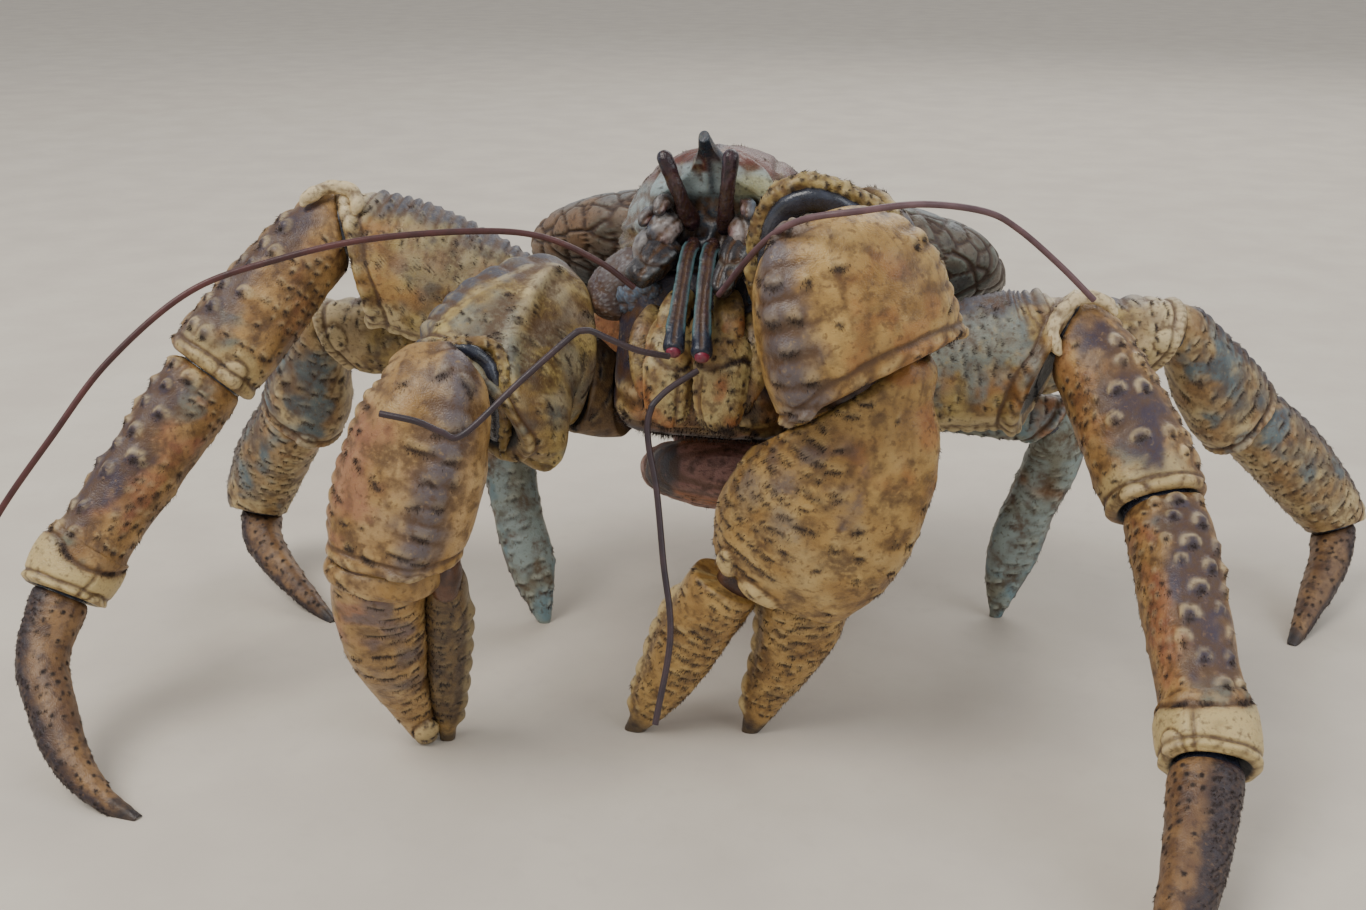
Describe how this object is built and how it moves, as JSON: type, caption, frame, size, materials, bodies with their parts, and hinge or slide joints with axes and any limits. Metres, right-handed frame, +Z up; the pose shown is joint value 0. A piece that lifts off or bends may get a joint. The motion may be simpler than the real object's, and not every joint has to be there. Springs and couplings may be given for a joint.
{
  "type": "coconut crab",
  "caption": "Large land crab standing on its walking legs with both claws lowered to the floor, long feelers, swollen gill covers and a folded abdomen.",
  "frame": {"origin": "on the floor, under the centre of the stance's bounding box", "axes": "+Z up, the head faces -Y, +X is the animal's left"},
  "size_m": [0.496, 0.3326, 0.2186],
  "materials": {
    "shell_rust": "semi-gloss",
    "shell_brown": "semi-gloss",
    "shell_tan": "semi-gloss",
    "shell_ochre": "semi-gloss",
    "shell_cream": "semi-gloss",
    "shell_blue": "semi-gloss",
    "shell_dark": "gloss",
    "shell_teal": "gloss",
    "soft_skin": "satin",
    "feeler": "satin",
    "claw_toe": "satin"
  },
  "bodies": {
    "root": {"abdomen_back": "soft_skin", "abdomen_end": "soft_skin", "abdomen_turn": "soft_skin", "abdomen_under": "soft_skin", "antenna_base_left": "shell_dark", "antenna_base_right": "shell_dark", "antenna_left_1": "feeler", "antenna_left_2": "feeler", "antenna_right_1": "feeler", "antenna_right_2": "feeler", "antenna_right_3": "feeler", "antennule_column_left": "shell_teal", "antennule_column_right": "shell_teal", "antennule_stalk_left": "shell_dark", "antennule_stalk_right": "shell_dark", "antennule_whip_left": "feeler", "antennule_whip_right_1": "feeler", "antennule_whip_right_2": "feeler", "carapace_midline": "shell_brown", "claw_left_base": "shell_ochre", "claw_left_carpus": "shell_ochre", "claw_left_finger": "shell_tan", "claw_left_merus": "shell_tan", "claw_left_palm": "shell_ochre", "claw_right_base": "shell_ochre", "claw_right_carpus": "shell_ochre", "claw_right_finger": "shell_tan", "claw_right_merus": "shell_tan", "claw_right_palm": "shell_ochre", "eye_left": "shell_dark", "eye_right": "shell_dark", "gill_cover_left": "shell_brown", "gill_cover_right": "shell_brown", "head_base": "soft_skin", "leg_2_left_base": "shell_ochre", "leg_2_left_carpus": "shell_ochre", "leg_2_left_dactylus": "claw_toe", "leg_2_left_merus": "shell_tan", "leg_2_left_propodus": "shell_ochre", "leg_2_right_base": "shell_ochre", "leg_2_right_carpus": "shell_ochre", "leg_2_right_dactylus": "claw_toe", "leg_2_right_merus": "shell_tan", "leg_2_right_propodus": "shell_ochre", "leg_3_left_carpus": "shell_blue", "leg_3_left_dactylus": "claw_toe", "leg_3_left_merus": "shell_tan", "leg_3_left_propodus": "shell_blue", "leg_3_right_carpus": "shell_blue", "leg_3_right_dactylus": "claw_toe", "leg_3_right_merus": "shell_tan", "leg_3_right_propodus": "shell_blue", "leg_4_left_hand": "shell_blue", "leg_4_left_merus": "shell_blue", "leg_4_right_hand": "shell_blue", "leg_4_right_merus": "shell_blue", "maxilliped_left": "shell_cream", "maxilliped_right": "shell_cream", "shield": "shell_rust", "sternum": "shell_cream"}
  },
  "joints": []
}
